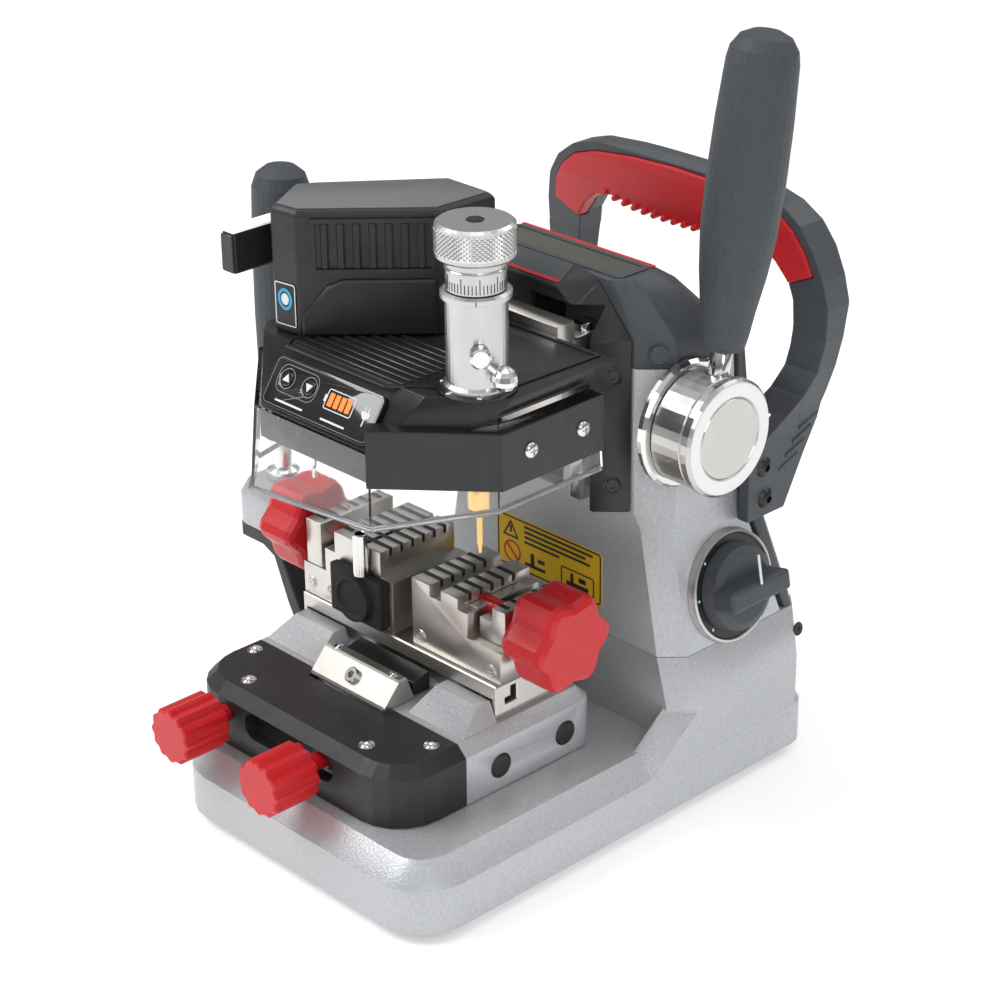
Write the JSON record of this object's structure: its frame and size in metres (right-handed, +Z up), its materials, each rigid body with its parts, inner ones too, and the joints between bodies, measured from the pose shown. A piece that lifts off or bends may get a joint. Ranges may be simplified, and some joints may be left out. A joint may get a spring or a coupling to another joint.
{
  "type": "key duplicating machine",
  "caption": "Bench key duplicating machine with a lever-fed cutter and tracer head over an X-Y table with two key clamps and a rear carry handle.",
  "frame": {"origin": "centre of the bounding box in X and Y, at the underside of the rubber feet", "axes": "+X to the operator's right, +Y towards the column and carry handle, +Z up"},
  "size_m": [0.2822, 0.313, 0.4035],
  "materials": {
    "silver_paint": "hammered silver paint on a casting",
    "black_casting": "satin black paint on a casting",
    "black_metal": "satin black paint",
    "slate_plastic": "fine-textured dark slate plastic",
    "black_plastic": "textured black plastic",
    "gloss_black": "gloss black plastic",
    "bright_steel": "bright ground steel",
    "brushed_steel": "brushed steel",
    "plated_alloy": "satin plated alloy",
    "red_plastic": "red moulded plastic",
    "black_rubber": "matt black rubber",
    "clear_plastic": "clear polished plastic",
    "brass": "satin brass",
    "battery_blue": "blue shrink sleeve"
  },
  "bodies": {
    "frame": {"base_casting": "silver_paint", "foot_front_left": "black_rubber", "foot_front_right": "black_rubber", "foot_rear_left": "black_rubber", "foot_rear_right": "black_rubber", "column_casting": "silver_paint", "battery_pack": "battery_blue", "slide_frame": "black_casting", "z_rail_left": "bright_steel", "z_rail_right": "bright_steel", "hub_bearing_ring": "bright_steel", "top_cover": "slate_plastic", "rear_cover": "slate_plastic", "carry_handle": "slate_plastic", "handle_grip": "red_plastic", "y_rod_left": "bright_steel", "y_rod_right": "bright_steel"},
    "switch": {"switch_knob": "slate_plastic"},
    "saddle": {"saddle_block": "brushed_steel"},
    "y_lock": {"y_lock_knob": "red_plastic"},
    "table": {"table_casting": "silver_paint", "front_fascia": "black_casting", "x_rod_front": "brushed_steel", "x_rod_rear": "brushed_steel", "wedge_block": "bright_steel", "clamp_base": "brushed_steel", "left_clamp_body": "brushed_steel", "clamp_boot": "black_rubber", "right_clamp_body": "brushed_steel", "lever_arm": "black_metal", "lever_housing": "silver_paint", "table_lever_rod": "bright_steel", "table_lever_grip": "slate_plastic"},
    "x_lock": {"x_lock_knob": "red_plastic"},
    "left_jaw_slide": {"left_jaw": "bright_steel"},
    "right_jaw_slide": {"right_jaw": "bright_steel"},
    "left_screw": {"left_clamp_knob": "red_plastic"},
    "right_screw": {"right_clamp_knob": "red_plastic"},
    "z_lever": {"lever_hub": "plated_alloy", "hub_cap": "plated_alloy", "lever_rod": "bright_steel", "lever_grip": "slate_plastic", "lever_pinion": "brushed_steel"},
    "head": {"head_housing": "black_casting", "z_carriage": "brushed_steel", "visor": "clear_plastic", "control_panel": "gloss_black", "belt_cover": "black_plastic", "work_lamp": "black_plastic", "drive_motor": "brushed_steel", "drive_belt": "black_rubber", "micrometer_barrel": "plated_alloy"},
    "up_button_slide": {"up_button": "gloss_black"},
    "down_button_slide": {"down_button": "gloss_black"},
    "spindle": {"cutter_spindle": "brushed_steel", "cutter_bit": "bright_steel"},
    "motor_shaft": {"motor_pulley": "bright_steel"},
    "micrometer": {"micrometer_knob": "plated_alloy"},
    "tracer": {"tracer_probe": "brass"},
    "tracer_lock": {"tracer_lock_lever": "bright_steel"}
  },
  "joints": [
    {"name": "saddle_slide", "type": "slide", "parent": "frame", "child": "saddle", "axis": [0, -1, 0], "range_m": [-0.006, 0.03]},
    {"name": "table_slide", "type": "slide", "parent": "saddle", "child": "table", "axis": [1, 0, 0], "range_m": [-0.004, 0.032]},
    {"name": "y_lock_turn", "type": "hinge", "parent": "saddle", "child": "y_lock", "pos_m": [0.02694, -0.1285, 0.06], "axis": [0, -1, 0], "range_deg": [-90, 90]},
    {"name": "x_lock_turn", "type": "hinge", "parent": "table", "child": "x_lock", "pos_m": [-0.04256, -0.1285, 0.06], "axis": [0, -1, 0], "range_deg": [-90, 90]},
    {"name": "left_screw_turn", "type": "hinge", "parent": "table", "child": "left_screw", "pos_m": [-0.08606, -0.0255, 0.121], "axis": [1, 0, 0], "range_deg": [-180, 270]},
    {"name": "left_jaw_travel", "type": "slide", "parent": "table", "child": "left_jaw_slide", "axis": [1, 0, 0], "range_m": [-0.002, 0.003]},
    {"name": "right_screw_turn", "type": "hinge", "parent": "table", "child": "right_screw", "pos_m": [0.09894, -0.0255, 0.121], "axis": [1, 0, 0], "range_deg": [-180, 270]},
    {"name": "right_jaw_travel", "type": "slide", "parent": "table", "child": "right_jaw_slide", "axis": [-1, 0, 0], "range_m": [-0.002, 0.003]},
    {"name": "z_lever_turn", "type": "hinge", "parent": "frame", "child": "z_lever", "pos_m": [0.10124, 0.0605, 0.2085], "axis": [1, 0, 0], "range_deg": [0, 68]},
    {"name": "head_slide", "type": "slide", "parent": "frame", "child": "head", "axis": [0, 0, -1], "range_m": [0, 0.038], "stiffness_N_per_m": 160, "springref_m": -0.25},
    {"name": "up_button_press", "type": "slide", "parent": "head", "child": "up_button_slide", "axis": [0, 0.829, -0.5592], "range_m": [0, 0.0008], "stiffness_N_per_m": 400},
    {"name": "down_button_press", "type": "slide", "parent": "head", "child": "down_button_slide", "axis": [0, 0.829, -0.5592], "range_m": [0, 0.0008], "stiffness_N_per_m": 400},
    {"name": "spindle_spin", "type": "hinge", "parent": "head", "child": "spindle", "pos_m": [-0.03656, -0.0595, 0.2], "axis": [0, 0, 1], "continuous": true},
    {"name": "motor_spin", "type": "hinge", "parent": "head", "child": "motor_shaft", "pos_m": [0.00244, -0.0125, 0.265], "axis": [0, 0, 1], "continuous": true},
    {"name": "micrometer_turn", "type": "hinge", "parent": "head", "child": "micrometer", "pos_m": [0.08294, -0.0595, 0.306], "axis": [0, 0, -1], "range_deg": [-360, 720]},
    {"name": "tracer_slide", "type": "slide", "parent": "head", "child": "tracer", "axis": [0, 0, -1], "range_m": [-0.001, 0.002]},
    {"name": "tracer_lock_turn", "type": "hinge", "parent": "head", "child": "tracer_lock", "pos_m": [0.09464, -0.06889, 0.279], "axis": [0.7799, -0.6259, 0], "range_deg": [0, 60]},
    {"name": "switch_turn", "type": "hinge", "parent": "frame", "child": "switch", "pos_m": [0.11024, 0.0875, 0.11206], "axis": [0.9831, 0, 0.1833], "range_deg": [-60, 60]}
  ],
  "couplings": [
    {"joint": "head_slide", "follows": "z_lever_turn", "m_per_rad": 0.032},
    {"joint": "left_jaw_travel", "follows": "left_screw_turn", "m_per_rad": 0.0006366},
    {"joint": "right_jaw_travel", "follows": "right_screw_turn", "m_per_rad": 0.0006366},
    {"joint": "motor_spin", "follows": "spindle_spin", "ratio": 0.82},
    {"joint": "tracer_slide", "follows": "micrometer_turn", "m_per_rad": 0.00015915}
  ]
}
